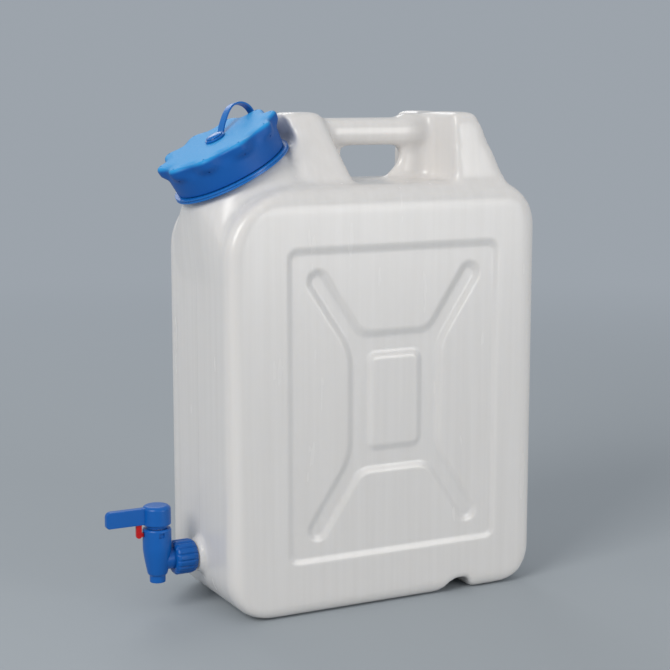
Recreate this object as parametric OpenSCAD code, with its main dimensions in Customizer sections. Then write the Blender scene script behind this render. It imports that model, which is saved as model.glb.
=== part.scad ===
// Wide-neck canister: a blown container with a slanted neck, a screw cap on a leash and a quarter-turn tap.
// The origin is the middle of the base, on the floor. +X runs along the long side, away from the tap, and +Z is up.
// The container came out of a mould with two halves, so it is symmetric about the plane y = 0.

/* [Body] */
// Length of the body, from the tap's side to the far side
body_w = 320; // [300:1:340]
// Depth of the body across its broad faces
body_d = 148; // [140:1:165]
// Height of the shoulder between the handle's posts
shoulder_h = 393; // [330:1:460]
// Height of the handle's posts above the shoulder
post_h = 64; // [60:1:74]
// Thickness of the blown wall
wall = 2.2; // [1.6:0.1:3]
// Radius of the upright corners
corner_r = 18; // [14:1:24]
// Radius of the base's edge under the narrow faces
base_end_r = 35; // [25:1:45]
// Radius of the base's edge under the broad faces
base_face_r = 12; // [8:1:20]
// Radius between a broad face and the shoulder
shoulder_r = 20; // [14:1:26]
// Run of the far shoulder's curve along X
far_run = 60; // [50:1:70]
// Rise of the far shoulder's curve, where it would end level
far_rise = 50; // [46:1:60]
// Run of the near shoulder's curve along X
near_run = 75; // [65:1:85]
// Rise of the near shoulder's curve, where it would end level
near_rise = 63; // [58:1:70]

/* [Panels] */
// Length of the sunk panel on each broad face
panel_w = 215; // [180:1:230]
// Height of the sunk panel
panel_h = 284; // [240:1:300]
// Height of the panel's lower edge
panel_z = 52; // [40:1:60]
// Distance of the panel's middle from the body's middle, away from the tap
panel_x = 6; // [0:0.5:10]
// Depth of the panel
panel_depth = 1.6; // [1:0.1:2]
// Width of the sunk cross's arms
cross_w = 17; // [12:1:22]
// Length of the cross's frame, outer
frame_w = 92; // [80:1:100]
// Height of the cross's frame, outer
frame_h = 122; // [100:1:130]
// Width of the frame's sunk border
frame_border = 20; // [14:1:24]
// Reach of the cross's arms along X, from the panel's middle
cross_reach_x = 72; // [64:1:78]
// Reach of the cross's arms in height, from the panel's middle
cross_reach_z = 113; // [104:1:118]
// Depth of the cross below the panel
cross_depth = 2; // [1.5:0.1:2.4]

/* [Base groove] */
// Distance of the finger groove's middle from the body's middle
groove_x = 78; // [60:1:90]
// Width of the finger groove at the floor
groove_w = 30; // [24:1:36]
// Height of the finger groove
groove_h = 14; // [10:1:16]

/* [Neck] */
// Slant of the neck's axis towards the tap's side
neck_tilt = 28.2; // [24:0.1:32]
// Distance of the neck's seat, on its axis, from the narrow face
neck_in = 36.8; // [35:0.1:42]
// Height of the neck's seat above the shoulder, on its axis
neck_up = 9; // [7:0.1:12]
// Radius of the opening
neck_bore_r = 43; // [40:0.5:44]
// Outer radius of the neck's tube
neck_r = 46.2; // [45.5:0.1:46.6]
// Length of the neck above its seat
neck_len = 31; // [28:0.5:36]
// Height of the narrow face's flat part, up to the swelling under the neck
near_face_h = 360; // [352:1:366]
// Half the width of the narrow face's flat part
near_face_half = 57; // [52:1:58]
// Radius of the flat part's upper corners
near_face_r = 26; // [20:1:32]
// Radius of the bead that keeps the leash's ring on
bead_r = 48.6; // [48:0.1:49]

/* [Handle] */
// Near end of the near post's top, from the body's middle
near_post_x0 = -80; // [-86:1:-76]
// Far end of the near post's top, from the body's middle
near_post_x1 = -41; // [-46:1:-36]
// Depth of the near post's top
near_post_d = 35; // [28:1:40]
// Inner face of the far post, from the body's middle
far_post_x0 = 76; // [70:1:82]
// Outer end of the far post's top, from the body's middle
far_post_x1 = 101; // [96:1:106]
// Outer end of the far post's foot, from the body's middle
far_post_foot_x = 131; // [124:1:134]
// Depth of the far post's top
far_post_d = 112; // [100:1:118]
// Depth of the grip
grip_d = 27; // [24:1:30]
// Height of the grip's section
grip_t = 26; // [22:1:28]
// Distance of the grip's top below the posts' tops
grip_drop = 5.5; // [4:0.5:8]
// Radius of the pocket's corner beside the grip's far end
pocket_r = 30; // [20:1:32]
// Thickness of the web round the hand hole
web_t = 7; // [5:0.5:10]
// Near end of the hand hole
hole_x0 = -16; // [-18:0.5:-12]
// Far end of the hand hole
hole_x1 = 49; // [44:0.5:51]

/* [Cap] */
// Radius of the cap's skirt at its lower edge
cap_r = 53; // [52.4:0.1:54]
// Radius of the cap at its top, between the finger lobes
cap_top_r = 56.5; // [56:0.1:57]
// Reach of the finger lobes from the axis
lobe_reach = 60; // [59:0.1:61]
// Number of finger lobes
lobe_n = 12; // [8:1:14]
// Radius inside the cap's skirt
cap_inner_r = 50; // [49.6:0.1:50.2]
// Thickness of the cap's top
cap_top_t = 2.9; // [2.4:0.1:3.4]
// Thickness of the cap's gasket
gasket_t = 1.6; // [1.2:0.1:2]
// Gap between the gasket and the cap's top
gasket_gap = 0.1; // [0.05:0.05:0.2]
// Gap between the cap's lower edge and the leash's ring
cap_gap = 0.6; // [0.4:0.1:1]

/* [Leash] */
// Outer radius of the leash's ring
ring_r = 56.7; // [55:0.1:58]
// Thickness of the leash's ring
ring_t = 4; // [3:0.1:5]
// Running clearance of the leash's ring on the neck and its seat
ring_gap = 0.6; // [0.4:0.1:0.8]
// Width of the strap
strap_w = 7; // [5:0.5:9]
// Thickness of the strap
strap_t = 2; // [1.6:0.1:2.2]
// Radius of the strap's round end
eye_r = 9.5; // [8:0.5:11]
// Bearing of the strap round the neck, from the uphill side
strap_turn = 36; // [30:1:44]
// Distance of the strap from the axis where it passes the cap
strap_out = 62.8; // [62.4:0.1:63.4]

/* [Tap] */
// Height of the tap's pipe above the floor
tap_z = 50; // [44:1:56]
// Distance of the tap's upright axis from the narrow face
tap_out = 42.5; // [40:0.5:50]
// Radius of the tap's barrel
barrel_r = 13.2; // [12.5:0.1:14]
// Height of the barrel's top above the pipe's axis
barrel_top = 30.5; // [28:0.5:34]
// Depth of the spout's end below the pipe's axis
spout_down = 20.5; // [18:0.5:24]
// Outer radius of the spout's end
spout_r = 7.3; // [7:0.1:8]
// Radius of the spout's bore
spout_bore_r = 5.5; // [4.5:0.1:6]
// Radius of the tap's horizontal pipe
pipe_r = 9.8; // [9.4:0.1:10.4]
// Radius of the chamber that the plug turns in
chamber_r = 8.2; // [7.6:0.1:8.6]
// Running clearance of the plug in its chamber
plug_gap = 0.06; // [0.04:0.01:0.1]
// Radius of the water's way through the tap
way_r = 4.6; // [4:0.1:5.2]

/* [Tap joint] */
// Radius of the round boss on the narrow face
boss_r = 15.6; // [14.6:0.1:17]
// Length of the boss
boss_len = 6; // [4:0.5:7]
// Outer radius of the threaded stub
stub_r = 13; // [12.6:0.1:13.2]
// Length of the threaded stub beyond the boss
stub_len = 13.5; // [12:0.5:14]
// Radius of the union nut
nut_r = 16; // [15.5:0.1:17]
// Thickness of the sealing washer in the union
union_seal_t = 1.5; // [1:0.1:2]
// Number of grip ribs round the nut
nut_ribs = 20; // [14:1:24]

/* [Lever] */
// Radius of the lever's hub
hub_r = 12.1; // [11.5:0.1:13]
// Height of the lever's hub
hub_h = 21; // [18:0.5:24]
// Length of the lever from its axis
lever_len = 49; // [42:0.5:56]
// Height of the lever's blade
lever_h = 15.5; // [13:0.5:17]
// Thickness of the lever's blade
lever_t = 6.5; // [6:0.5:8]
// Height of the red latch
latch_h = 12.5; // [11:0.5:14]
// Thickness of the red latch
latch_t = 4.5; // [3:0.5:5]
// Travel of the red latch
latch_travel = 3; // [2:0.5:4]

/* [Hidden] */

milky = [0.90, 0.91, 0.92];
blue = [0.05, 0.33, 0.72];
red = [0.80, 0.10, 0.12];
dark = [0.12, 0.12, 0.13];
$fa = 6;
$fs = 1;

// Body
left = -body_w/2;
right = body_w/2;
top_h = shoulder_h + post_h;
skin = 0.5;

// Neck
seat_x = left + neck_in;
seat_z = shoulder_h + neck_up;
scoop_r = lobe_reach + 5.5;
cap_s = ring_gap + ring_t + cap_gap;
lip_s = neck_len;
cap_top_s = lip_s + gasket_t + gasket_gap + cap_top_t;

// Handle
grip_top = top_h - grip_drop;
grip_z = grip_top - grip_t/2;

// Tap
tap_x = left - tap_out;
boss_x = left - boss_len;
stub_x = boss_x - stub_len;
flange_x = stub_x - union_seal_t;
flange_t = 3;
nut_lip = 3;
nut_gap = 0.5;
barrel_z = tap_z + barrel_top;
spout_z = tap_z - spout_down;
chamber_z = spout_z + 8.5;
hub_z = barrel_z + 0.5;
blade_z = hub_z + 3.6;
latch_x = tap_x - barrel_r - 1.8;
latch_z = blade_z + 7;

// How far a quarter round of radius r has drawn in at height z above its lower end
function drawn_in(z, r) = z < r ? r - sqrt(r*r - (r - z)*(r - z)) : 0;

// How far a shoulder's curve has drawn in at height z, if it rises from height z0
function curved_in(z, z0, run, rise) = z > z0 ? run*(1 - sqrt(1 - pow((z - z0)/rise, 2))) : 0;
function near_in(z) = curved_in(z, shoulder_h + 1 - near_rise, near_run, near_rise);
function far_in(z) = curved_in(z, shoulder_h + 7 - far_rise, far_run, far_rise);

// Puts its children on the neck: z is then the distance along the neck's axis from its seat
module on_neck() {
    translate([seat_x, 0, seat_z]) rotate([0, -neck_tilt, 0]) children();
}

// A rounded outline between x0 and x1, half deep each way
module outline(x0, x1, half, r) {
    translate([(x0 + x1)/2, 0])
        offset(r = r) square([x1 - x0 - 2*r, 2*half - 2*r], center = true);
}

// A thin level slice of the body, just above height z where up is true and just below it where not
module slice(z, x0, x1, half, r, up = false) {
    translate([0, 0, up ? z : z - skin]) linear_extrude(skin) outline(x0, x1, half, r);
}

// The body up to the shoulder, drawn in by e all round
module trunk(e) {
    levels = concat([0, 1.5, 4, 8, 14, 22, base_end_r],
        [for (d = [62, 52, 43, 34, 27, 20, 13, 7.5, 4, 2, 0]) shoulder_h - d]);
    far_z = shoulder_h + 7 - far_rise;
    hull() for (z = levels) {
        x0 = left + max(drawn_in(z, base_end_r), near_in(z));
        x1 = z > base_end_r && z < far_z ? 0 : right - max(drawn_in(z, base_end_r), far_in(z));
        half = body_d/2 - max(drawn_in(z, base_face_r), drawn_in(shoulder_h - z, shoulder_r));
        slice(min(max(z, e), shoulder_h - e), x0 + e, x1 - e, half - e, corner_r - e, z < shoulder_h/2, $fn = 28);
    }
}

// The swelling under the neck, from the flat part of the narrow face up to a round seat
module neck_swell(e) {
    hull() {
        translate([left + e + 0.4, 0, near_face_h - near_face_r - 4]) rotate([90, 0, 90])
            linear_extrude(skin) offset(r = near_face_r - e, $fn = 28)
                square([2*(near_face_half - near_face_r), 8], center = true);
        slice(shoulder_h - 12, -120, -60, near_face_half, 12, $fn = 28);
        on_neck() translate([0, 0, -5]) cylinder(h = 6 - e, r = neck_r + 2.4 - e, $fn = 40);
    }
}

// The near post, which fans out into the shoulder
module near_post(e) {
    hull() {
        slice(shoulder_h - 16, near_post_x0, -6 - e, 60 - e, 12, $fn = 28);
        slice(shoulder_h + 4, near_post_x0, -22 - e, 40 - e, 12, $fn = 28);
        slice(top_h - 5 - e, near_post_x0, near_post_x1 + 3 - e, near_post_d/2 - e, 8, $fn = 24);
        slice(top_h - e, near_post_x0, near_post_x1 - e, near_post_d/2 - 4 - e, 6, $fn = 24);
    }
}

// The far post's side outline, in X and Z
module far_side() {
    offset(r = 5, $fn = 24) offset(delta = -5)
        polygon([[hole_x1, shoulder_h - 16], [hole_x1, top_h], [far_post_x1, top_h],
            [far_post_foot_x, shoulder_h], [far_post_foot_x + 8, shoulder_h - 16]]);
}

// The far post's end outline, in Y and Z, with the shallow valley where the mould's halves meet
module far_end() {
    foot = far_post_d/2 + 8;
    top = far_post_d/2;
    offset(r = 4, $fn = 24) offset(delta = -4)
        polygon([[-foot, shoulder_h - 16], [-foot, shoulder_h - 2], [-top, top_h], [-9, top_h], [0, top_h - 3],
            [9, top_h], [top, top_h], [foot, shoulder_h - 2], [foot, shoulder_h - 16]]);
}

// The far post's plan: the pockets on both sides of the grip are rounded out of it
module far_plan(e) {
    difference() {
        translate([hole_x1 + e, -body_d/2]) square([right - hole_x1, body_d]);
        for (side = [-1, 1]) translate([far_post_x0 - 50 + e, side*(grip_d/2 + 50)])
            offset(r = pocket_r) square([100 - 2*pocket_r, 100 - 2*pocket_r + 2*e], center = true);
    }
}

// The far post
module far_post(e) {
    intersection() {
        translate([0, body_d/2, 0]) rotate([90, 0, 0]) linear_extrude(body_d) offset(delta = -e) far_side();
        translate([left, 0, 0]) rotate([90, 0, 90]) linear_extrude(body_w) offset(delta = -e) far_end();
        translate([0, 0, shoulder_h - 16]) linear_extrude(post_h + 20) far_plan(e);
    }
}

// The grip bar between the posts
module grip(e) {
    translate([near_post_x1 - 12, 0, grip_z]) rotate([90, 0, 90])
        linear_extrude(far_post_x0 - near_post_x1 + 16)
            offset(r = 9 - e) square([grip_d - 18, grip_t - 18], center = true);
}

// The hand hole's outline, in X and Z
module hand_hole() {
    z0 = shoulder_h + 2;
    z1 = grip_top - grip_t;
    offset(r = 3) offset(delta = -3)
        polygon([[hole_x0, z1], [hole_x0 + 10, z0], [hole_x1 - 15, z0], [hole_x1, z0 + 15], [hole_x1, z1]]);
}

// The pinched web round the hand hole
module web() {
    z0 = shoulder_h - 4;
    translate([0, web_t/2, 0]) rotate([90, 0, 0]) linear_extrude(web_t)
        translate([near_post_x1, z0]) square([far_post_x0 - near_post_x1, grip_z - z0]);
}

// A rounded field in X and Z
module field(x, z, w, h, r) {
    translate([x, z]) offset(r = r) square([w - 2*r, h - 2*r], center = true);
}

// One arm of the cross, from the frame's corner out to a round end. sx and sz say which corner
module cross_arm(sx, sz) {
    translate([panel_x, panel_z + panel_h/2]) hull() {
        translate([sx*(frame_w/2 - 12), sz*(frame_h/2 - 12)]) circle(cross_w/2);
        translate([sx*cross_reach_x, sz*cross_reach_z]) circle(cross_w/2);
    }
}

// The outline of the sunk cross, whose middle is a frame
module cross_outline() {
    $fn = 24;
    offset(r = 6) offset(delta = -6) offset(delta = -4) offset(r = 4) difference() {
        union() {
            for (sx = [-1, 1], sz = [-1, 1]) cross_arm(sx, sz);
            field(panel_x, panel_z + panel_h/2, frame_w, frame_h, 8);
        }
        field(panel_x, panel_z + panel_h/2, frame_w - 2*frame_border, frame_h - 2*frame_border, 6);
    }
}

// The space that the sunk panel takes out of a broad face, at y = -body_d/2
module panel_recess(depth, grow) {
    translate([0, -body_d/2 + depth, 0]) rotate([90, 0, 0]) linear_extrude(depth + 1)
        field(panel_x, panel_z + panel_h/2, panel_w + 2*grow, panel_h + 2*grow, 8, $fn = 24);
}

// The space that the sunk cross takes out of the panel
module cross_recess(depth, grow) {
    translate([0, -body_d/2 + depth, 0]) rotate([90, 0, 0]) linear_extrude(depth + 1)
        offset(delta = grow) cross_outline();
}

// The finger groove across the base
module base_groove(e) {
    translate([groove_x, body_d/2 + 1, -1]) rotate([90, 0, 0]) linear_extrude(body_d + 2) offset(delta = e)
        polygon([[-groove_w/2 - 1, 0], [-groove_w/2 + 10, groove_h - 1], [-groove_w/2 + 14, groove_h + 1],
            [groove_w/2 - 6, groove_h + 1], [groove_w/2 - 1, 0]]);
}

// The blown form, drawn in by e
module blown(e) {
    difference() {
        union() {
            trunk(e);
            neck_swell(e);
            near_post(e);
            far_post(e);
            grip(e);
        }
        on_neck() translate([0, 0, -e]) cylinder(h = 90, r = scoop_r + e, $fn = 64);
        translate([0, 60, 0]) rotate([90, 0, 0]) linear_extrude(120) offset(delta = e) hand_hole();
        base_groove(e);
    }
}

module canister_body() {
    color(milky) difference() {
        union() {
            difference() {
                union() {
                    blown(0);
                    web();
                }
                translate([0, 60, 0]) rotate([90, 0, 0]) linear_extrude(120) hand_hole();
                for (side = [0, 1]) mirror([0, side, 0]) {
                    panel_recess(panel_depth, 0);
                    cross_recess(panel_depth + cross_depth, 0);
                }
            }
            on_neck() translate([0, 0, -4]) cylinder(h = lip_s + 4, r = neck_r, $fn = 72);
            on_neck() translate([0, 0, cap_s]) cylinder(h = 2, r1 = bead_r, r2 = neck_r, $fn = 72);
            translate([left + 1, 0, tap_z]) rotate([0, -90, 0]) {
                cylinder(h = boss_len + 1, r1 = boss_r + 2, r2 = boss_r, $fn = 48);
                cylinder(h = boss_len + 1 + stub_len, r = stub_r, $fn = 48);
            }
        }
        difference() {
            blown(wall);
            for (side = [0, 1]) mirror([0, side, 0]) {
                panel_recess(panel_depth + wall, wall);
                cross_recess(panel_depth + cross_depth + wall, wall);
            }
        }
        on_neck() translate([0, 0, -12]) cylinder(h = lip_s + 13, r = neck_bore_r, $fn = 72);
        translate([left + 6, 0, tap_z]) rotate([0, -90, 0])
            cylinder(h = boss_len + stub_len + 7, r = pipe_r - 1.3, $fn = 40);
    }
}

// The leash's strap runs in an upright plane of the neck. Points are [distance from the axis, height over the seat]
strap_route = [[ring_r - 1.5, ring_gap + ring_t - 1], [strap_out, 12], [strap_out, cap_top_s - 3],
    [strap_out - 5, cap_top_s + 9], [50, cap_top_s + 14], [38, cap_top_s + 11.5],
    [eye_r + 8, cap_top_s + 3], [eye_r - 2, cap_top_s + 1.4]];

module leash() {
    color(blue) on_neck() union() {
        difference() {
            translate([0, 0, ring_gap]) cylinder(h = ring_t, r = ring_r);
            cylinder(h = 20, r = neck_r + ring_gap);
        }
        rotate([0, 0, strap_turn]) translate([0, strap_w/2, 0]) rotate([90, 0, 0]) linear_extrude(strap_w)
            for (k = [0:len(strap_route) - 2]) strap_link(strap_route[k], strap_route[k + 1]);
        translate([0, 0, cap_top_s + 0.3]) difference() {
            cylinder(h = strap_t, r = eye_r);
            translate([0, 0, -1]) cylinder(h = 9, r = 4.2);
        }
    }
}

// One straight stretch of the strap's side outline, with round ends
module strap_link(a, b) {
    hull() {
        translate(a) circle(strap_t/2, $fn = 16);
        translate(b) circle(strap_t/2, $fn = 16);
    }
}

module strap_button() {
    color(blue) on_neck() translate([0, 0, cap_top_s]) union() {
        translate([0, 0, -cap_top_t - 1.8]) cylinder(h = 1.5, r = 5);
        translate([0, 0, -cap_top_t - 0.4]) cylinder(h = cap_top_t + strap_t + 0.9, r = 3.6);
        translate([0, 0, strap_t + 0.4]) cylinder(h = 1.4, r1 = 7.5, r2 = 5.5);
    }
}

module cap_gasket() {
    color(milky) on_neck() translate([0, 0, lip_s]) difference() {
        cylinder(h = gasket_t, r = cap_inner_r - 1.5);
        translate([0, 0, -1]) cylinder(h = 9, r = neck_bore_r - 3);
    }
}

// A finger lobe, widest at the cap's top and fading into the skirt
module lobe() {
    lobe_r = 9;
    translate([0, 0, cap_top_s - 14]) cylinder(h = 13, r1 = 5, r2 = lobe_r);
    translate([0, 0, cap_top_s - 1]) cylinder(h = 1, r1 = lobe_r, r2 = lobe_r - 1);
}

module screw_cap() {
    h = cap_top_s - cap_s;
    color(blue) on_neck() difference() {
        union() {
            translate([0, 0, cap_s]) cylinder(h = h - 1, r1 = cap_r, r2 = cap_top_r);
            translate([0, 0, cap_top_s - 1]) cylinder(h = 1, r1 = cap_top_r, r2 = cap_top_r - 1);
            for (k = [0:lobe_n - 1]) rotate([0, 0, (k + 0.5)*360/lobe_n])
                translate([lobe_reach - 9, 0, 0]) lobe();
        }
        translate([0, 0, cap_s - 1]) cylinder(h = h - cap_top_t + 1, r = cap_inner_r);
        cylinder(h = 90, r = 3.8);
    }
}

module tap_body() {
    color(blue) difference() {
        union() {
            translate([tap_x, 0, 0]) rotate_extrude() polygon([[0, spout_z], [spout_r, spout_z],
                [spout_r, spout_z + 6], [spout_r + 2, spout_z + 8], [barrel_r, tap_z + 8], [barrel_r, barrel_z],
                [0, barrel_z]]);
            translate([flange_x, 0, tap_z]) rotate([0, -90, 0]) cylinder(h = flange_x - tap_x, r = pipe_r);
            translate([flange_x, 0, tap_z]) rotate([0, -90, 0]) cylinder(h = flange_t, r = stub_r - 0.4);
        }
        translate([tap_x, 0, chamber_z]) cylinder(h = 90, r = chamber_r);
        translate([tap_x, 0, 0]) cylinder(h = tap_z, r = spout_bore_r);
        translate([flange_x + 1, 0, tap_z]) rotate([0, -90, 0]) cylinder(h = flange_x + 1 - tap_x, r = way_r);
        for (turn = [180, 270]) translate([tap_x, 0, 0]) rotate([0, 0, turn])
            translate([barrel_r - 1.6, -2.5, barrel_z - 7]) cube([9, 5, 4.5]);
    }
}

module union_nut() {
    x0 = flange_x - flange_t - nut_gap - nut_lip;
    length = boss_x - 1 - x0;
    color(blue) translate([x0, 0, tap_z]) rotate([0, 90, 0]) difference() {
        union() {
            cylinder(h = 2, r1 = nut_r - 2, r2 = nut_r);
            translate([0, 0, 2]) cylinder(h = length - 4.5, r = nut_r);
            translate([0, 0, length - 2.5]) cylinder(h = 2.5, r1 = nut_r, r2 = nut_r - 2);
        }
        translate([0, 0, -1]) cylinder(h = 9, r = pipe_r + 0.4);
        translate([0, 0, nut_lip]) cylinder(h = 90, r = stub_r + 0.4);
        for (k = [0:nut_ribs - 1]) rotate([0, 0, k*360/nut_ribs])
            translate([nut_r + 0.2, 0, 3]) cylinder(h = length - 7, r = 0.9);
    }
}

module union_seal() {
    color(dark) translate([flange_x, 0, tap_z]) rotate([0, 90, 0]) difference() {
        cylinder(h = union_seal_t, r = stub_r - 0.4);
        translate([0, 0, -1]) cylinder(h = 9, r = pipe_r - 1.3);
    }
}

// A groove's ring and the seal that sits in it, at height z on the plug
module plug_seal(z) {
    color(dark) translate([tap_x, 0, z]) rotate_extrude() translate([chamber_r - 0.95, 0]) circle(0.9);
}

seal_z = [chamber_z + 3.5, barrel_z - 6];

module valve_plug() {
    r = chamber_r - plug_gap;
    color(milky) difference() {
        union() {
            translate([tap_x, 0, chamber_z + 0.4]) cylinder(h = barrel_z - chamber_z + 0.1, r = r);
            translate([tap_x - 4, -4, barrel_z]) cube([8, 8, 12]);
        }
        for (z = seal_z) translate([tap_x, 0, z - 1]) difference() {
            cylinder(h = 2, r = r + 1);
            translate([0, 0, -1]) cylinder(h = 4, r = chamber_r - 1.9);
        }
        translate([tap_x, 0, tap_z]) rotate([0, 90, 0]) cylinder(h = 20, r = way_r);
        translate([tap_x, 0, 0]) cylinder(h = tap_z, r = way_r);
    }
}

module plug_seal_upper() { plug_seal(seal_z[1]); }

module plug_seal_lower() { plug_seal(seal_z[0]); }

module tap_lever() {
    color(blue) difference() {
        union() {
            translate([tap_x, 0, hub_z]) cylinder(h = hub_h - 3, r = hub_r);
            translate([tap_x, 0, hub_z + hub_h - 3]) cylinder(h = 3, r1 = hub_r, r2 = hub_r - 3);
            translate([tap_x - hub_r, lever_t/2, 0]) rotate([90, 0, 0]) linear_extrude(lever_t)
                offset(r = 3) translate([-lever_len + hub_r + 3, blade_z + 3])
                    square([lever_len - hub_r + 2, lever_h - 6]);
        }
        translate([tap_x - 4.05, -4.05, hub_z - 1]) cube([8.1, 8.1, 13.2]);
        translate([latch_x - latch_t - latch_travel - 0.3, -lever_t/2 + 1, blade_z - 1])
            cube([latch_t + latch_travel + 0.6, lever_t - 2, latch_z - blade_z + 1.3]);
    }
}

module lever_latch() {
    nose_z = barrel_z - 6.6;
    color(red) union() {
        translate([latch_x - latch_t, -lever_t/2 + 1.4, latch_z - latch_h - 7])
            cube([latch_t, lever_t - 2.8, latch_h + 7]);
        translate([latch_x - 1, -1.5, nose_z]) cube([tap_x - barrel_r - 0.3 - latch_x + 1, 3, 3.6]);
    }
}

canister_body();
leash();
strap_button();
cap_gasket();
screw_cap();
tap_body();
union_nut();
union_seal();
valve_plug();
plug_seal_upper();
plug_seal_lower();
tap_lever();
lever_latch();
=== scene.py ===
# %% [markdown]
# # A wide-neck canister with a tap
# The object is a blown container of milky plastic with a slanted neck, a blue screw cap on a leash,
# and a blue quarter-turn tap with a red latch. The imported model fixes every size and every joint.
# This script dresses it: it makes smooth skins, threads and materials around that frame. Lengths are
# worked out in millimetres, as on the drawing, and each finished mesh is scaled to metres once.

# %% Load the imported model
import math

import bmesh
import bpy
from mathutils import Matrix, Vector


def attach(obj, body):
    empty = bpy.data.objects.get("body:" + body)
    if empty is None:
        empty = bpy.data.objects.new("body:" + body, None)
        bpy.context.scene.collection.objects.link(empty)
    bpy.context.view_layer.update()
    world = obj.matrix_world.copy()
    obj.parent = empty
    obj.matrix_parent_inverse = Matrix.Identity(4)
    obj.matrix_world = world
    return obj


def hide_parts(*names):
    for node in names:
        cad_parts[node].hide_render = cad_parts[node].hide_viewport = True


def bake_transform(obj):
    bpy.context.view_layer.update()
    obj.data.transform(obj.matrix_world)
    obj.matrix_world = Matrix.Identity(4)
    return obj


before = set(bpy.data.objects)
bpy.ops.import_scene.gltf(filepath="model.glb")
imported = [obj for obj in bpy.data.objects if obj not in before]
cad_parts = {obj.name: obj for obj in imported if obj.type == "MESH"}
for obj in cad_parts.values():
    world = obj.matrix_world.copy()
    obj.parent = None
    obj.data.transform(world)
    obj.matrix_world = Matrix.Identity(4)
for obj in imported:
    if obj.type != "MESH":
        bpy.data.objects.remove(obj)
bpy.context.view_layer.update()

# %% [markdown]
# ## The camera
# The camera stands where the photographer's stood: a little above the middle of the canister, off to
# its left, and far enough away for a long lens. Its place came from a fit of the drawing's corners to
# the picture, so it is written as plain numbers and nothing here is guessed again.

# %% Camera
lens_data = bpy.data.cameras.new("camera")
lens_data.lens = 85.8
lens_data.sensor_width = 36
lens_data.clip_start, lens_data.clip_end = 0.05, 100
camera = bpy.data.objects.new("camera", lens_data)
back = Vector((-0.4487, -0.8803, 0.1544)).normalized()
side = Vector((math.cos(math.radians(27.01)), -math.sin(math.radians(27.01)), 0))
camera.matrix_world = Matrix.Translation((-0.7016, -1.3389, 0.4811)) @ Matrix(
    (side, back.cross(side), back)).transposed().to_4x4()
bpy.context.scene.collection.objects.link(camera)
bpy.context.scene.camera = camera
print("camera at", camera.location[:], "lens", lens_data.lens, "mm")

# %% [markdown]
# ## The measures
# The body is 320 mm long, 148 mm deep and 393 mm high at the shoulder; the posts of its handle reach
# 457 mm. The neck leans 28.2 degrees towards the tap. The same few numbers shape the skin, the neck,
# the cap and the tap, so they are named once here. ON_NECK turns heights along the neck's axis into
# places in the frame, and ON_PIPE does the same for lengths along the tap's pipe, towards +X.

# %% Measures, in millimetres
MM = 0.001
LEFT, RIGHT, HALF = -160, 160, 74
SHOULDER, TOP = 393, 457
SEAT = Vector((-123.2, 0, 402))
TILT = math.radians(28.2)
ON_NECK = Matrix.Translation(SEAT) @ Matrix.Rotation(-TILT, 4, "Y")
NECK_R, BORE_R, LIP_S = 46.2, 43, 31
CAP_S, CAP_TOP_S = 5.2, 35.6
PANEL_MIDDLE = Vector((6, 194))
TAP_X, TAP_Z = -202.5, 50
ON_PIPE = Matrix.Translation((0, 0, TAP_Z)) @ Matrix.Rotation(math.radians(90), 4, "Y")
ON_BARREL = Matrix.Translation((TAP_X, 0, 0))
print("neck axis points along", [round(v, 4) for v in ON_NECK.col[2][:3]])

# %% [markdown]
# ## Outlines, hulls, prisms and turned solids
# Four ways of making a solid are enough for this object. An outline is drawn as a few corners, and a
# vertex bevel rounds them. A hull is the tightest skin round some outlines, which is how a blown
# corner looks. A prism is an outline pushed through space. A turned solid is half a section spun
# round an axis, as on a lathe.


# %% Outlines, hulls and prisms
def outline(corners, cuts, steps=8):
    """The points of a flat outline whose corners are rounded, each by its own cut."""
    bm = bmesh.new()
    ring = [bm.verts.new(p) for p in corners]
    bm.faces.new(ring)
    for corner, cut in zip(ring, cuts if hasattr(cuts, "__len__") else [cuts] * len(ring)):
        if cut:
            bmesh.ops.bevel(bm, geom=[corner], offset=cut, segments=steps, profile=0.5, affect="VERTICES",
                            material=-1)
    points = [v.co.copy() for face in bm.faces for v in face.verts]
    bm.free()
    return points


def level(z, x0, x1, half, r):
    """A level rounded rectangle at height z."""
    return outline(((x0, -half, z), (x1, -half, z), (x1, half, z), (x0, half, z)), r, 12)


def as_object(bm, place=None):
    """Closes the work on a bmesh: its faces point outwards, and it becomes an object."""
    if place is not None:
        bmesh.ops.transform(bm, matrix=place, verts=bm.verts)
    bmesh.ops.recalc_face_normals(bm, faces=bm.faces)
    mesh = bpy.data.meshes.new("work")
    bm.to_mesh(mesh)
    bm.free()
    made = bpy.data.objects.new("work", mesh)
    bpy.context.scene.collection.objects.link(made)
    return made


def hull(outlines, place=None):
    """The tightest skin round all the points of some outlines."""
    bm = bmesh.new()
    for points in outlines:
        for p in points:
            bm.verts.new(p)
    bmesh.ops.convex_hull(bm, input=bm.verts)
    bmesh.ops.delete(bm, geom=[v for v in bm.verts if not v.link_faces], context="VERTS")
    return as_object(bm, place)


def new_verts(extruded):
    """The vertices that an extrusion made."""
    return [v for v in extruded["geom"] if isinstance(v, bmesh.types.BMVert)]


def prism(corners, cuts, push, steps=8, place=None):
    """An outline with rounded corners, pushed through space."""
    bm = bmesh.new()
    face = bm.faces.new([bm.verts.new(p) for p in outline(corners, cuts, steps)])
    pushed = bmesh.ops.extrude_face_region(bm, geom=[face], use_keep_orig=True)
    bmesh.ops.translate(bm, vec=push, verts=new_verts(pushed))
    return as_object(bm, place)


def rectangle(a0, a1, b0, b1):
    return [(a0, b0), (a1, b0), (a1, b1), (a0, b1)]


def across(section, half, cuts=0, steps=8):
    """A prism from an outline of (x, z) pairs, as wide as twice half and centred on y = 0."""
    return prism([(x, half, z) for x, z in section], cuts, (0, -2 * half, 0), steps)


def upright(section, z, height, cuts=0, steps=8, place=None):
    """A prism from an outline of (x, y) pairs that stands at height z."""
    return prism([(x, y, z) for x, y in section], cuts, (0, 0, height), steps, place)


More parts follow.
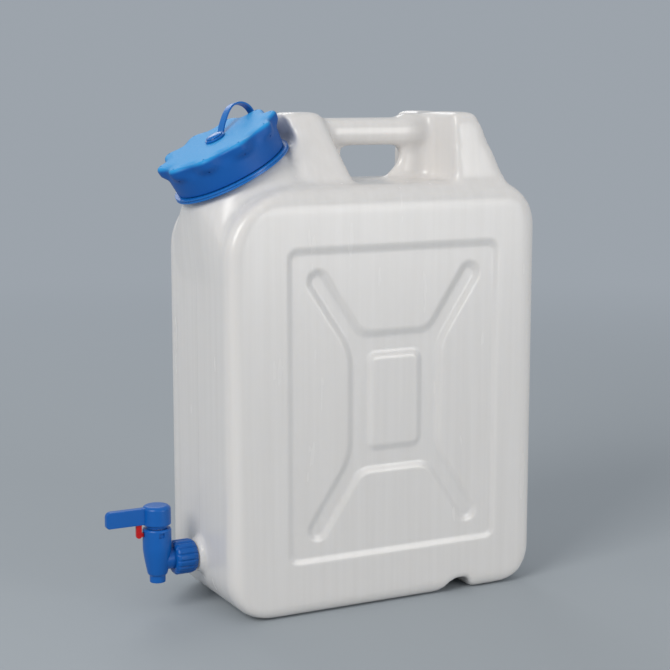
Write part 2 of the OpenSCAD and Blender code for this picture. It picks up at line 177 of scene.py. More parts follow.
def turned(section, cuts=0, steps=96, place=None, corner_steps=3):
    """Half a section of (radius, height) pairs, spun. It ends on the axis, or it closes into a ring."""
    bm = bmesh.new()
    points = [bm.verts.new((r, 0, h)) for r, h in section]
    for a, b in zip(points, points[1:]):
        bm.edges.new((a, b))
    if section[0][0] > 0:
        bm.edges.new((points[-1], points[0]))
    for point, cut in zip(points, cuts if hasattr(cuts, "__len__") else [cuts] * len(points)):
        if cut and point.co.x > 0:
            bmesh.ops.bevel(bm, geom=[point], offset=cut, segments=corner_steps, profile=0.5,
                            affect="VERTICES", material=-1)
    bmesh.ops.spin(bm, geom=bm.edges[:] + bm.verts[:], cent=(0, 0, 0), axis=(0, 0, 1), angle=2 * math.pi,
                   steps=steps, use_merge=True)
    bmesh.ops.remove_doubles(bm, verts=bm.verts, dist=1e-4)
    return as_object(bm, place)


def helix(section, pitch, turns, start, steps=72, place=None):
    """A small closed section of (radius, height) pairs, swept round the axis as it climbs."""
    bm = bmesh.new()
    ring = [bm.verts.new((r, 0, h + start)) for r, h in section]
    face = bm.faces.new(ring)
    count = round(steps * turns)
    bmesh.ops.spin(bm, geom=[face], cent=(0, 0, 0), axis=(0, 0, 1), dvec=(0, 0, pitch * turns / count),
                   angle=2 * math.pi * turns, steps=count)
    bmesh.ops.remove_doubles(bm, verts=bm.verts, dist=1e-5)
    return as_object(bm, place)


# %% [markdown]
# ## Joining and cutting
# Where two solids meet, a Boolean modifier joins them or cuts one by the other. Blender has a solver
# for closed meshes that is fast and keeps them closed, so every tool here is a closed solid. The
# modifier's result is made the mesh at once, and the tool is thrown away.


# %% Joining, cutting and finishing
def bake(piece):
    """Makes the piece's modifiers part of its mesh."""
    bpy.context.view_layer.update()
    seen = piece.evaluated_get(bpy.context.evaluated_depsgraph_get())
    mesh = bpy.data.meshes.new_from_object(seen)
    piece.modifiers.clear()
    piece.data = mesh
    return piece


def combine(base, operation, *tools):
    for tool in tools:
        step = base.modifiers.new("combine", "BOOLEAN")
        step.operation, step.object, step.solver = operation, tool, "MANIFOLD"
        bake(base)
        bpy.data.objects.remove(tool)
    return base


def soften(piece, width, angle=30, segments=2):
    """A small bevel on every edge sharper than the angle, as a moulded edge has."""
    edge = piece.modifiers.new("edge", "BEVEL")
    edge.width, edge.segments, edge.limit_method = width, segments, "ANGLE"
    edge.angle_limit = math.radians(angle)
    return bake(piece)


def settle(piece, name, body, finish, stands_for=(), sharp=38, even=True):
    """Scales a finished piece to metres and gives it its name, finish and body, if it has just one."""
    piece.name = piece.data.name = name
    piece.data.transform(Matrix.Scale(MM, 4))
    piece.data.materials.clear()
    piece.data.materials.append(finish)
    piece.data.shade_smooth()
    piece.data.set_sharp_from_angle(angle=math.radians(sharp))
    if even:
        weigh = piece.modifiers.new("even_shading", "WEIGHTED_NORMAL")
        weigh.keep_sharp = True
        bake(piece)
        piece.data.name = name
    if body:
        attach(piece, body)
    for node in stands_for:
        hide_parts(node)
    piece.data.calc_loop_triangles()
    print(name, "has", len(piece.data.loop_triangles), "triangles")
    return piece


# %% [markdown]
# ## The finishes
# The body is blown polythene: white, milky and a little soft to the light, with faint upright streaks
# where the hot tube of plastic stretched. Light goes a few millimetres into it, so the shader has some
# subsurface scattering. A fine line runs round it where the two halves of the mould met. It is drawn
# as a bump on the plane y = 0, because its height is less than half a millimetre.


# %% A small kit for node materials
def new_material(name, color, roughness, **sockets):
    material = bpy.data.materials.new(name)
    material.use_nodes = True
    shader = material.node_tree.nodes["Principled BSDF"]
    shader.inputs["Base Color"].default_value = (*color, 1)
    shader.inputs["Roughness"].default_value = roughness
    for socket, value in sockets.items():
        shader.inputs[socket.replace("_", " ")].default_value = value
    material.diffuse_color = (*color, 1)
    return material, shader


def node(material, kind, **settings):
    made = material.node_tree.nodes.new(kind)
    for key, value in settings.items():
        if key in made.inputs:
            made.inputs[key].default_value = value
        else:
            setattr(made, key, value)
    return made


def wire(material, source, output, target, socket):
    material.node_tree.links.new(source.outputs[output], target.inputs[socket])


def noise(material, scale, stretch=(1, 1, 1), detail=3.0):
    """Noise on Object coordinates, in metres. stretch draws it out along an axis."""
    place = node(material, "ShaderNodeTexCoord")
    mapping = node(material, "ShaderNodeMapping", Scale=stretch)
    grain = node(material, "ShaderNodeTexNoise", Scale=scale, Detail=detail)
    wire(material, place, "Object", mapping, "Vector")
    wire(material, mapping, "Vector", grain, "Vector")
    return grain


def between(material, grain, low, high, shader, socket):
    """Lets a noise move a value of the shader between low and high."""
    spread = node(material, "ShaderNodeMapRange")
    spread.inputs["To Min"].default_value = low
    spread.inputs["To Max"].default_value = high
    wire(material, grain, "Fac", spread, "Value")
    wire(material, spread, "Result", shader, socket)


def tint(material, grain, color_a, color_b, shader):
    mix = node(material, "ShaderNodeMix", data_type="RGBA")
    mix.inputs[6].default_value = (*color_a, 1)
    mix.inputs[7].default_value = (*color_b, 1)
    wire(material, grain, "Fac", mix, 0)
    material.node_tree.links.new(mix.outputs[2], shader.inputs["Base Color"])


def bump(material, height, strength, distance, shader, before=None):
    relief = node(material, "ShaderNodeBump", Strength=strength, Distance=distance)
    material.node_tree.links.new(height, relief.inputs["Height"])
    if before is not None:
        wire(material, before, "Normal", relief, "Normal")
    wire(material, relief, "Normal", shader, "Normal")
    return relief


def seam(material, width):
    """A height that is 1 on the plane y = 0 and falls to 0 at the width, in metres."""
    place = node(material, "ShaderNodeTexCoord")
    split = node(material, "ShaderNodeSeparateXYZ")
    away = node(material, "ShaderNodeMath", operation="ABSOLUTE")
    line = node(material, "ShaderNodeMapRange", interpolation_type="SMOOTHSTEP")
    line.inputs["From Max"].default_value = width
    line.inputs["To Min"].default_value = 1
    line.inputs["To Max"].default_value = 0
    wire(material, place, "Object", split, "Vector")
    wire(material, split, "Y", away, 0)
    wire(material, away, "Value", line, "Value")
    return line.outputs["Result"]


# %% The milky body
milky, shader = new_material("milky_polythene", (0.70, 0.685, 0.665), 0.36, Subsurface_Weight=0.35,
                             Subsurface_Scale=0.006, IOR=1.5)
shader.inputs["Subsurface Radius"].default_value = (1.0, 0.92, 0.8)
tint(milky, noise(milky, 150, (1, 1, 0.03), 3), (0.70, 0.678, 0.656), (0.775, 0.755, 0.738), shader)
between(milky, noise(milky, 60, (1, 1, 0.2), 3), 0.19, 0.31, shader, "Roughness")
relief = bump(milky, noise(milky, 170, (1, 1, 0.03), 2).outputs["Fac"], 0.15, 0.0003, shader)
bump(milky, seam(milky, 0.0007), 0.6, 0.0003, shader, relief)
print("materials:", [m.name for m in bpy.data.materials])

# %% [markdown]
# The cap and the tap are injection moulded, so their blue is even. The cap's top has a fine pebbled
# grain, drawn as a bump, and a painted sheen: its colour is painted a lighter blue than the skirt's,
# for the light from above that falls on it. The red latch is smoother. The seals are dark rubber, and
# the plug inside the tap is plain undyed plastic.


# %% The blues, the red and the small parts
def along_neck(material, low, high):
    """Goes from 0 to 1 between two heights along the neck's axis, in millimetres from its seat."""
    axis = Vector(ON_NECK.col[2][:3])
    place = node(material, "ShaderNodeTexCoord")
    height = node(material, "ShaderNodeVectorMath", operation="DOT_PRODUCT")
    height.inputs[1].default_value = axis
    step = node(material, "ShaderNodeMapRange", interpolation_type="SMOOTHSTEP")
    step.inputs["From Min"].default_value = (SEAT.dot(axis) + low) * MM
    step.inputs["From Max"].default_value = (SEAT.dot(axis) + high) * MM
    wire(material, place, "Object", height, 0)
    wire(material, height, "Value", step, "Value")
    return step


def blue_plastic(name, color, roughness, grain_scale, grain_depth, specular=0.35):
    material, shader = new_material(name, color, roughness, IOR=1.5)
    shader.inputs["Specular IOR Level"].default_value = specular
    shade = [tuple(c * k for c in color) for k in (0.93, 1.07)]
    tint(material, noise(material, 45), *shade, shader)
    between(material, noise(material, 320), roughness - 0.06, roughness + 0.08, shader, "Roughness")
    bump(material, noise(material, grain_scale).outputs["Fac"], 0.35, grain_depth, shader)
    return material


cap_blue = blue_plastic("cap_blue_pebbled_painted_sheen", (0.003, 0.10, 0.40), 0.48, 520, 0.0005, 0.3)
base = cap_blue.node_tree.nodes["Principled BSDF"].inputs["Base Color"]
# Painted sheen: the top of the cap, from 31.5 to 35.4 mm up the neck's axis, is painted a lighter blue for
# the light from above.
painted_top_sheen = node(cap_blue, "ShaderNodeMix", data_type="RGBA")
painted_top_sheen.inputs[7].default_value = (0.018, 0.315, 0.70, 1)
cap_blue.node_tree.links.new(base.links[0].from_socket, painted_top_sheen.inputs[6])
wire(cap_blue, along_neck(cap_blue, 31.5, 35.4), "Result", painted_top_sheen, 0)
cap_blue.node_tree.links.new(painted_top_sheen.outputs[2], base)
tap_blue = blue_plastic("tap_blue", (0.003, 0.11, 0.43), 0.33, 1400, 0.00012)
strap_blue = blue_plastic("strap_blue_soft", (0.007, 0.15, 0.50), 0.28, 700, 0.0001, 0.5)
button_blue = blue_plastic("button_blue_glossy", (0.007, 0.15, 0.50), 0.18, 500, 0.00003, 0.5)
latch_red = blue_plastic("latch_red", (0.52, 0.004, 0.005), 0.32, 1200, 0.0001)
seal_black = blue_plastic("seal_rubber", (0.022, 0.022, 0.024), 0.55, 1500, 0.0001)
plug_natural = blue_plastic("plug_natural", (0.62, 0.62, 0.60), 0.42, 900, 0.0001)
for name, finish in (("cap_gasket", seal_black), ("union_seal", seal_black), ("valve_plug", plug_natural),
                     ("plug_seal_upper", seal_black), ("plug_seal_lower", seal_black)):
    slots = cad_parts[name].data.materials
    slots.clear()
    slots.append(finish)
print("CAD parts with a finish:", [n for n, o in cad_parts.items() if o.data.materials])

# %% [markdown]
# ## The blown body
# A blown container is air pushed against the walls of a mould, so every corner is round and every
# form flows into the next. The forms are built as hulls and prisms and joined. The trunk has a large
# round at the base's ends and long curves at both shoulders, the near one under the neck.


# %% The trunk and the swelling under the neck
BASE_ROUND, CORNER_CUT = 42, 12


def ease(t):
    """Goes smoothly from 0 to 1 as t does, and stays there outside."""
    t = min(1, max(0, t))
    return t * t * (3 - 2 * t)


def drawn_in(z, r):
    """How far a quarter round of radius r has drawn in at height z above its lower end."""
    return r - math.sqrt(r * r - (r - z) ** 2) if 0 <= z < r else 0


def curved_in(z, z0, run, rise):
    """How far a shoulder's curve that starts at height z0 has drawn in."""
    return run * (1 - math.sqrt(max(0, 1 - ((z - z0) / rise) ** 2))) if z > z0 else 0


low_levels = [0, 0.4, 1.5, 3, 5, 7.5, 10, 12, 15.5, 19, 23, 28, 35, 42]
high_levels = [331, 337, 343, 349, 355, 360, 365, 370, 374, 378, 381, 384, 386.5, 388.5, 390.2, 391.5, 392.5,
               393]
rings = []
for z in low_levels + high_levels:
    x0 = LEFT + max(drawn_in(z, BASE_ROUND), curved_in(z, 331, 75, 63))
    x1 = RIGHT - max(drawn_in(z, 35), curved_in(z, 350, 60, 50))
    half = HALF - max(drawn_in(z, 12), drawn_in(SHOULDER - z, 20))
    rings.append(level(z, x0, x1, half, CORNER_CUT))
body = hull(rings)

arch_x = LEFT + 0.4
arch = outline([(arch_x, y, z) for y, z in rectangle(-57, 57, 300, 360)], 26, 12)
seat_ring = [ON_NECK @ Vector((48.6 * math.cos(a), 48.6 * math.sin(a), 0.6))
             for a in [math.radians(5 * k) for k in range(72)]]
swelling = hull([arch, level(380.5, -120, -60, 57, 12), seat_ring])
combine(body, "UNION", swelling)
print("trunk and swelling:", len(body.data.polygons), "faces")

# %% [markdown]
# The handle is a grip bar between two posts. The near post fans out into the shoulder like a buttress.
# The far post is a broad block with a shallow valley along the top and two round pockets for the
# knuckles beside the grip's end.

# %% The handle's posts and grip
near_post = hull([level(377, -80, -16, 60, 12), level(397, -80, -29, 40, 12), level(452, -80, -38, 17.5, 8),
                  level(TOP, -80, -41, 13.5, 6)])
far_post = across([(49, 377), (49, TOP), (101, TOP), (131, SHOULDER), (139, 377)], HALF, (0, 4, 5, 5, 0))
end_view = [(-64, 377), (-64, 391), (-56, TOP), (-9, TOP), (0, TOP - 3), (9, TOP), (56, TOP), (64, 391),
            (64, 377)]
far_end = prism([(40, y, z) for y, z in end_view], (0, 4, 5, 4, 4, 4, 5, 4, 0), (120, 0, 0))
combine(far_post, "INTERSECT", far_end)
for turn in (-1, 1):
    pocket = upright(rectangle(-24, 77, turn * 6, turn * 113.5), 370, 100, 15, 12)
    combine(far_post, "DIFFERENCE", pocket)
grip = prism([(-53, y, z) for y, z in ((-13.5, 425.5), (13.5, 425.5), (13.5, 451.5), (-13.5, 451.5))], 9,
             (132, 0, 0))
web = across(rectangle(-45, 80, 385, 440), 3.5)
boss = turned([(0, LEFT + 3), (17.8, LEFT + 3), (15.4, LEFT - 6), (0, LEFT - 6)], 0, 72, ON_PIPE)
combine(body, "UNION", near_post, far_post, grip, web, boss)
print("with its handle:", len(body.data.polygons), "faces")

# %% [markdown]
# Three things are cut out: a round scoop that gives the cap's lobes room, the hand hole through the
# web, and the finger groove across the base.

# %% The scoop, the hand hole and the finger groove
scoop = turned([(0, 0), (65.5, 0), (65.5, 90), (0, 90)], 0, 96, ON_NECK)
hand_hole = across([(-16, 425.5), (-6, 395), (34, 395), (49, 410), (49, 425.5)], 70, 4)
groove = across([(55, -1), (71, 12.5), (90, 12.5), (93, -1)], 80, (0, 7, 6, 0))
combine(body, "DIFFERENCE", scoop, hand_hole, groove)
print("cut:", len(body.data.polygons), "faces")

# %% [markdown]
# Now the hard joins are blown soft. A voxel remesh wraps one even skin of small squares round the
# whole form, and smoothing relaxes it. The handle gets more smoothing than the trunk, because the real
# plastic flows there in wide fillets.

# %% One soft skin
VOXEL = 2.86
SMOOTH_ALL, SMOOTH_HANDLE = 3, 9
wrap = body.modifiers.new("wrap", "REMESH")
wrap.mode, wrap.voxel_size = "VOXEL", VOXEL
bake(body)
skin = bmesh.new()
skin.from_mesh(body.data)
axes = dict(use_axis_x=True, use_axis_y=True, use_axis_z=True)
for k in range(SMOOTH_HANDLE):
    near = skin.verts[:] if k < SMOOTH_ALL else [v for v in skin.verts if v.co.z > 372]
    bmesh.ops.smooth_vert(skin, verts=near, factor=0.5, **axes)
print("skin:", len(skin.faces), "faces")

# %% [markdown]
# ## The sunk panel and the cross
# Each broad face has a wide panel pressed 1.6 mm into it, and inside it a cross with a frame for its
# middle, 2 mm deeper. They stiffen the flat wall. The mould's edges come out soft, so the depth
# follows a smooth step about 8 mm wide across each outline. The outlines are distances to rounded
# boxes and round bars. Only the squares that an outline crosses are divided again before the push.

# %% Distances to the outlines
def box_distance(p, w, h, r):
    q = Vector((abs(p.x) - w / 2 + r, abs(p.y) - h / 2 + r))
    return Vector((max(q.x, 0), max(q.y, 0))).length + min(max(q.x, q.y), 0) - r


def bar_distance(p, a, b, r):
    along = b - a
    t = min(1, max(0, (p - a).dot(along) / along.length_squared))
    return (p - a - along * t).length - r


def cross_distance(p):
    p = Vector((abs(p.x), abs(p.y)))
    bar, box = bar_distance(p, Vector((35, 48)), Vector((79, 114)), 8.5), box_distance(p, 92, 127, 9)
    blend = max(0, 1 - abs(bar - box) / 9)
    return max(min(bar, box) - blend * blend * 9 / 4, -box_distance(p, 52, 87, 7))


def soft_step(distance, width=8):
    return ease(0.5 - distance / width)


# %% Press both broad faces in
PANEL_DEPTH, CROSS_DEPTH = 1.6, 2


def panel_distance(p):
    return box_distance(p, 215, 284, 8)


def on_face(v):
    return abs(v.co.y) > HALF - 1 and -115 < v.co.x < 127 and 39 < v.co.z < 349


crossed = set()
for v in skin.verts:
    if on_face(v):
        p = Vector((v.co.x, v.co.z)) - PANEL_MIDDLE
        if min(abs(panel_distance(p)), abs(cross_distance(p))) < 5:
            crossed.update(e for e in v.link_edges if on_face(e.verts[0]) and on_face(e.verts[1]))
bmesh.ops.subdivide_edges(skin, edges=list(crossed), cuts=1, use_grid_fill=True)
for v in skin.verts:
    if on_face(v):
        p = Vector((v.co.x, v.co.z)) - PANEL_MIDDLE
        depth = PANEL_DEPTH * soft_step(panel_distance(p)) + CROSS_DEPTH * soft_step(cross_distance(p))
        v.co.y = math.copysign(HALF - depth, v.co.y)
skin.to_mesh(body.data)
skin.free()
print("pressed skin:", len(body.data.polygons), "faces")

# %% [markdown]
# The container is hollow, and its wall is about 2.5 mm thick. The hollow is a copy of the skin, moved
# inwards by a Displace modifier and wrapped again with larger voxels, because nobody sees its details.
# In the handle the walls would almost meet and break through, so a block keeps the hollow out of it.

# %% The hollow
WALL, HOLLOW_VOXEL = 2.5, 6.5
hollow = bpy.data.objects.new("hollow", body.data.copy())
bpy.context.scene.collection.objects.link(hollow)
inward = hollow.modifiers.new("inward", "DISPLACE")
inward.strength, inward.mid_level = -WALL, 0
wrap = hollow.modifiers.new("wrap", "REMESH")
wrap.mode, wrap.voxel_size = "VOXEL", HOLLOW_VOXEL
bake(hollow)
solid_top = upright(rectangle(-66, 170, -90, 90), 385, 90)
combine(hollow, "DIFFERENCE", solid_top)
print("hollow:", len(hollow.data.polygons), "faces")

# %% [markdown]
# ## The neck, its thread and the tap's stub
# The neck is a short tube round the slanted axis. A bead above its foot keeps the leash's ring on, and
# a thread with a pitch of 6 mm climbs to the lip. A spin that also lifts the section at each step makes
# the thread. The stub for the tap has a much finer thread, 1.8 mm a turn.

# %% Neck, stub and bores
neck = turned([(0, -4), (NECK_R, -4), (NECK_R, LIP_S), (0, LIP_S)], (0, 0, 1.2, 0), 144, ON_NECK)
bead = turned([(44, 4.2), (46.1, 4.2), (48.4, 5.3), (48.6, 6.1), (46.1, 7.4), (44, 7.6)], 0, 144, ON_NECK)
neck_thread = helix([(45.4, -1.9), (49.2, -0.7), (49.2, 0.7), (45.4, 1.9)], 6, 2.2, 12.6, 72, ON_NECK)
stub = turned([(0, -150), (12, -150), (12, -179.5), (0, -179.5)], (0, 0, 0.6, 0), 72, ON_PIPE)
stub_thread = helix([(11.6, -0.75), (13, -0.2), (13, 0.2), (11.6, 0.75)], 1.8, 5.6, -178.4, 48, ON_PIPE)
bore = turned([(0, -14), (BORE_R, -14), (BORE_R, LIP_S + 1), (0, LIP_S + 1)], 0, 144, ON_NECK)
pipe_bore = turned([(0, -181), (8.5, -181), (8.5, -150), (0, -150)], 0, 48, ON_PIPE)
combine(neck, "UNION", bead, neck_thread)
combine(stub, "UNION", stub_thread)
combine(body, "UNION", neck, stub)
combine(body, "DIFFERENCE", hollow, bore, pipe_bore)
settle(body, "blown_body", "canister", milky, ("canister_body",), 50, False)

# %% [markdown]
# ## The screw cap
# The cap is a turned shell. Ten finger lobes swell out of its rim and fade into the skirt. They are
# made by moving the shell's outer points away from the axis in a wave of ten crests, which fades down
# the skirt. Between the crests the rim also dips a little. Each lobe has a small moulded pit on the
# top and one below it. The top's flat faces are large and the rim's are small, so the finished piece
# gets normals weighted by area, which keep the top's shading flat.

# %% The cap's shell and lobes
LOBES, FIRST_LOBE = 10, 16
LOBE_REACH, LOBE_DIP = 4.5, 1.0
side_points = [(53 + 0.17 * k, CAP_S + 2.17 * k) for k in range(12)]
top_points = [(r, CAP_TOP_S) for r in (3.8, 24, 44, 47.4, 50.8, 55.6)]
cap = turned(top_points + side_points[::-1] + [(50, CAP_S), (50, CAP_TOP_S - 2.9), (3.8, CAP_TOP_S - 2.9)],
             [0, 0, 0, 0, 0, 4] + [0] * 11 + [0.5, 0.4, 1, 0], 240, None, 8)
shell = bmesh.new()
shell.from_mesh(cap.data)
for v in shell.verts:
    r, angle = math.hypot(v.co.x, v.co.y), math.atan2(v.co.y, v.co.x)
    if r > 51.5 or (r > 45 and v.co.z > CAP_TOP_S - 2.5):
        lobe = (0.5 + 0.5 * math.cos(LOBES * (angle - math.radians(FIRST_LOBE)))) ** 1.1
        out = ease((r - 44) / 9)
        grown = ease((v.co.z - CAP_TOP_S + 15.5) / 8) * out
        v.co.z -= 1.4 * (1 - lobe) * out * ease((v.co.z - CAP_TOP_S + 7) / 7)
        v.co.xy *= 1 + grown * (LOBE_REACH * lobe - LOBE_DIP * (1 - lobe)) / r
shell.to_mesh(cap.data)
shell.free()
print("cap shell:", len(cap.data.polygons), "faces")

# %% The cap's pits and thread
OUTWARDS = Matrix.Rotation(math.radians(90), 4, "Y")
pits = None
for k in range(LOBES):
    turn = Matrix.Rotation(math.radians(FIRST_LOBE + 360 / LOBES * k), 4, "Z")
    on_top = turned([(0, 0), (0.9, 0), (1.25, 2.4), (0, 2.4)], 0, 16,
                    turn @ Matrix.Translation((55.2, 0, CAP_TOP_S - 1.7)))
    on_side = turned([(0, 0), (0.9, 0), (1.2, 3), (0, 3)], 0, 16,
                     turn @ Matrix.Translation((55, 0, CAP_TOP_S - 12.4)) @ OUTWARDS)
    pits = combine(on_top, "UNION", on_side) if pits is None else combine(pits, "UNION", on_top, on_side)
combine(cap, "DIFFERENCE", pits)
cap_thread = helix([(50.6, -1.6), (47, -0.5), (47, 0.5), (50.6, 1.6)], 6, 1.3, 9.6, 72)
combine(cap, "UNION", cap_thread)
cap.data.transform(ON_NECK)
settle(cap, "cap_shell", "cap", cap_blue, ("screw_cap",), 32)

# %% [markdown]
# ## The leash
# A ring turns on the neck under the cap, and a flat strap runs from it over the rim to a button in the
# middle of the cap. The ring has a shallow groove round its edge. The strap starts as a wire path with
# rounded bends. It is pushed sideways to its width and then given its thickness.

# %% The ring
ring = turned([(46.9, 0.6), (56.7, 0.6), (56.7, 2.0), (56.0, 2.3), (56.0, 2.9), (56.7, 3.2), (56.7, 4.6),
               (46.9, 4.6)], (0.3, 0.4, 0.2, 0, 0, 0.2, 0.5, 0.3), 144, ON_NECK, 2)
settle(ring, "leash_ring_band", "leash_ring", strap_blue, ("leash",))

# %% The strap and its eye
STRAP_TURN = ON_NECK @ Matrix.Rotation(math.radians(30), 4, "Z")
route = [(54.5, 3.4), (62.9, 12), (63.2, CAP_TOP_S - 2), (61.3, CAP_TOP_S + 4.4), (56, CAP_TOP_S + 9.8),
         (49, CAP_TOP_S + 13.3), (40, CAP_TOP_S + 15), (30, CAP_TOP_S + 12.6), (18, CAP_TOP_S + 6.6),
         (10.6, CAP_TOP_S + 1.6), (8.2, CAP_TOP_S + 1.3)]
path = bmesh.new()
points = [path.verts.new((r, -3.5, h)) for r, h in route]
for a, b in zip(points, points[1:]):
    path.edges.new((a, b))
for point, cut in zip(points[1:-1], (3.5, 3, 3.2, 3.4, 3.6, 4.4, 4.6, 4, 1.1)):
    bmesh.ops.bevel(path, geom=[point], offset=cut, segments=5, profile=0.5, affect="VERTICES", material=-1)
widened = bmesh.ops.extrude_edge_only(path, edges=path.edges[:])
bmesh.ops.translate(path, vec=(0, 7, 0), verts=new_verts(widened))
strap = as_object(path)
thick = strap.modifiers.new("thick", "SOLIDIFY")
thick.thickness, thick.offset, thick.use_even_offset = 2, 0, True
bake(strap)
soften(strap, 0.5, 50)
strap.data.transform(STRAP_TURN)
eye = turned([(4.2, 0.3), (9.5, 0.3), (9.5, 2.3), (4.2, 2.3)], (0, 0.4, 0.6, 0.3), 48,
             ON_NECK @ Matrix.Translation((0, 0, CAP_TOP_S)))
combine(strap, "UNION", eye)
settle(strap, "leash_strap", None, strap_blue, ("leash",), 40)

# %% The button
button = turned([(0, -4.7), (5, -4.7), (5, -3.2), (3.6, -3.2), (3.6, 2.4), (8, 2.5), (8.1, 3.2), (5.6, 4.6),
                 (0, 5)], (0, 0.3, 0.2, 0, 0, 0.3, 0.6, 2, 0), 64,
                ON_NECK @ Matrix.Translation((0, 0, CAP_TOP_S)), 6)
settle(button, "strap_button_head", "strap_end", button_blue, ("strap_button",))

# %% [markdown]
# ## The tap
# The tap is a turned barrel with a spout below and a pipe at its side. The barrel holds a plug that
# the lever turns. A ribbed union nut draws the pipe's flange against the stub. The ribs are made by
# moving the turned shell's points in and out with the angle.

# %% The tap's body
tap = turned([(0, 29.5), (7.3, 29.5), (7.3, 35.5), (9.2, 37.8), (12.6, 55), (13.2, 62), (13.2, 79.2),
              (12.4, 80.5), (0, 80.5)], (0, 0.6, 0.4, 0.8, 6, 3, 0.4, 0.3, 0), 96, ON_BARREL)
pipe = turned([(0, -202.5), (9.8, -202.5), (9.8, -185.4), (10.8, -184), (12.6, -184), (12.6, -181),
               (0, -181)], (0, 0, 1.2, 0.5, 0.3, 0.3, 0), 72, ON_PIPE)
combine(tap, "UNION", pipe)
chamber = turned([(0, 38), (8.2, 38), (8.2, 90), (0, 90)], 0, 64, ON_BARREL)
spout = turned([(0, 20), (5.5, 20), (5.5, 50), (0, 50)], 0, 48, ON_BARREL)
way = turned([(0, -203), (4.6, -203), (4.6, -180), (0, -180)], 0, 48, ON_PIPE)
combine(tap, "DIFFERENCE", chamber, spout, way)
for turn in (180, 270):
    notch = upright(rectangle(11.6, 20, -2.5, 2.5), 73.5, 4.5, 0.4, 3,
                    ON_BARREL @ Matrix.Rotation(math.radians(turn), 4, "Z"))
    combine(tap, "DIFFERENCE", notch)
settle(tap, "tap_barrel", "tap", tap_blue, ("tap_body",))

# %% The union nut
NUT_X0, NUT_X1 = -187.5, -167
nut_side = [(16, NUT_X0 + 2 + k * 1.5) for k in range(1, 10)]
nut = turned([(10.2, NUT_X0), (14, NUT_X0), (16, NUT_X0 + 2)] + nut_side
             + [(16, NUT_X1 - 4.5), (15, NUT_X1 - 1.6), (13.6, NUT_X1), (13.4, NUT_X1), (13.4, NUT_X0 + 3),
                (10.2, NUT_X0 + 3)], 0, 240)
ribs = bmesh.new()
ribs.from_mesh(nut.data)
for v in ribs.verts:
    r, angle = math.hypot(v.co.x, v.co.y), math.atan2(v.co.y, v.co.x)
    if r > 14.5:
        v.co.xy *= 1 - 0.06 * max(0, math.cos(16 * angle)) ** 2.5
ribs.to_mesh(nut.data)
ribs.free()
nut.data.transform(ON_PIPE)
settle(nut, "ribbed_nut", "nut", tap_blue, ("union_nut",), 50)

# %% [markdown]
# ## The lever and its latch
# The lever is a round hub on a squared post, with a flat blade that points away from the canister when
# the tap is open. A thin red latch slides in the blade and drops into a notch of the barrel, so that
# the lever can't turn by itself.

# %% Lever and latch
hub = turned([(0, 81), (9.6, 81), (9.6, 84), (13.1, 84.4), (13.1, 99.6), (10.6, 102), (0, 102)],
             (0, 0.3, 0.4, 0.5, 1.2, 1.4, 0), 72, ON_BARREL)
blade = across(rectangle(-251.4, -212, 85.1, 100.6), 3.25, (3, 0, 0, 5), 6)
soften(blade, 0.9, 40)
socket = upright(rectangle(-206.55, -198.45, -4.05, 4.05), 80, 13.2)
latch_slot = upright(rectangle(-226.2, -217.2, -2.25, 2.25), 84, 8.4)
combine(hub, "UNION", blade)
combine(hub, "DIFFERENCE", socket, latch_slot)
settle(hub, "lever_blade", "lever", tap_blue, ("tap_lever",))

latch = across(rectangle(-222.6, -217.5, 72.6, 92.1), 1.85, (2.2, 2.2, 0, 0), 6)
nose = upright(rectangle(-218.5, -216, -1.5, 1.5), 73.9, 3.6)
soften(latch, 0.4, 40)
combine(latch, "UNION", nose)
settle(latch, "red_latch", "latch", latch_red, ("lever_latch",))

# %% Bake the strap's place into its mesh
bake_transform(strap)

# %% [markdown]
# ## The studio
# The picture was taken on a plain blue-grey sheet under soft light from the upper left. The floor here
# is lit near the canister and keeps its shadow. Further out it fades into a plain glow of the same tone
# as the world behind it, so no horizon shows from any side.

# %% Floor and world
TONE = (0.335, 0.37, 0.41)
floor_bm = bmesh.new()
bmesh.ops.create_circle(floor_bm, cap_ends=True, segments=96, radius=30)
floor_mesh = bpy.data.meshes.new("floor")
floor_bm.to_mesh(floor_mesh)
floor_bm.free()
floor = bpy.data.objects.new("floor", floor_mesh)
bpy.context.scene.collection.objects.link(floor)
sheet, shader = new_material("studio_sheet", (0.385, 0.42, 0.45), 0.7)
shader.inputs["Specular IOR Level"].default_value = 0.08
glow = node(sheet, "ShaderNodeEmission", Color=(*TONE, 1), Strength=1.0)
place = node(sheet, "ShaderNodeTexCoord")
length = node(sheet, "ShaderNodeVectorMath", operation="LENGTH")
fade = node(sheet, "ShaderNodeMapRange", interpolation_type="SMOOTHSTEP")
fade.inputs["From Min"].default_value = 0.45
fade.inputs["From Max"].default_value = 2.6
blend_node = node(sheet, "ShaderNodeMixShader")
wire(sheet, place, "Object", length, 0)
wire(sheet, length, "Value", fade, "Value")
wire(sheet, fade, "Result", blend_node, 0)
wire(sheet, shader, "BSDF", blend_node, 1)
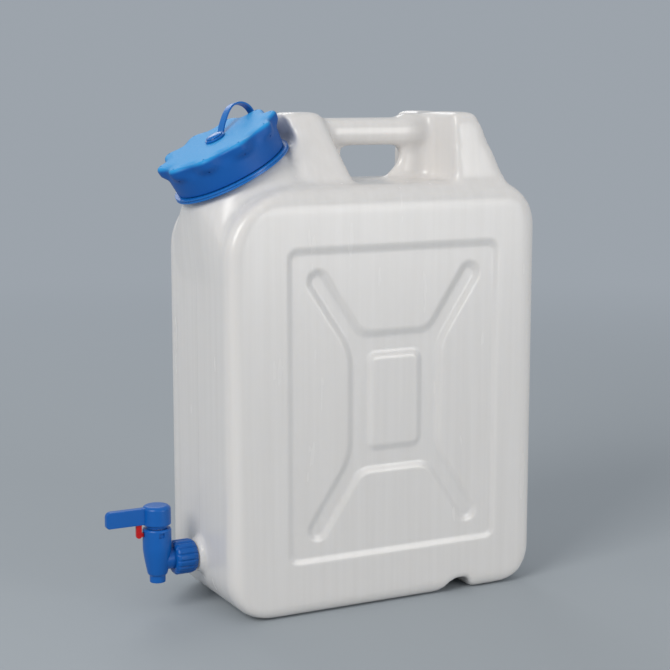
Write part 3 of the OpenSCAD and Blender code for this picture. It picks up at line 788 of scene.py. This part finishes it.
wire(sheet, glow, "Emission", blend_node, 2)
wire(sheet, blend_node, "Shader", sheet.node_tree.nodes["Material Output"], "Surface")
floor_mesh.materials.append(sheet)

world = bpy.data.worlds.new("studio")
world.use_nodes = True
bpy.context.scene.world = world
tree = world.node_tree
sky = tree.nodes["Background"]
sky.inputs["Color"].default_value = (0.93, 0.96, 1.0, 1)
sky.inputs["Strength"].default_value = 0.47
behind = tree.nodes.new("ShaderNodeBackground")
behind.inputs["Color"].default_value = (*TONE, 1)
rays = tree.nodes.new("ShaderNodeLightPath")
choose = tree.nodes.new("ShaderNodeMixShader")
seen = rays.outputs["Is Camera Ray"]
for kind in ("Is Glossy Ray", "Is Transmission Ray"):
    either = tree.nodes.new("ShaderNodeMath")
    either.operation = "MAXIMUM"
    tree.links.new(seen, either.inputs[0])
    tree.links.new(rays.outputs[kind], either.inputs[1])
    seen = either.outputs[0]
tree.links.new(seen, choose.inputs[0])
tree.links.new(sky.outputs[0], choose.inputs[1])
tree.links.new(behind.outputs[0], choose.inputs[2])
tree.links.new(choose.outputs[0], tree.nodes["World Output"].inputs["Surface"])
# %% [markdown]
# Three large soft lamps do the rest: a main one at the upper left in front, a weaker low one in front
# on the right, which draws thin bright lines along the panel's edges, and one behind and above for the
# pale sheen on the shoulders and on the cap's top, whose colour also carries a painted sheen. Their
# sum lights a white surface to about white.

# %% Lamps
def softbox(name, place, size, power, color=(1, 1, 1)):
    data = bpy.data.lights.new(name, "AREA")
    data.size, data.energy, data.color = size, power, color
    lamp = bpy.data.objects.new(name, data)
    lamp.location = place
    lamp.rotation_euler = (Vector((0, 0, 0.22)) - lamp.location).to_track_quat("-Z", "Y").to_euler()
    bpy.context.scene.collection.objects.link(lamp)
    return lamp


softbox("main_softbox", (-2.1, -1.1, 1.6), 1.2, 39, (1, 0.98, 0.95))
softbox("front_softbox", (1.0, -2.1, 0.5), 0.9, 14, (1, 0.985, 0.96))
softbox("back_softbox", (0.25, 1.8, 1.7), 1.3, 10)
bpy.context.scene.view_settings.view_transform = "Standard"
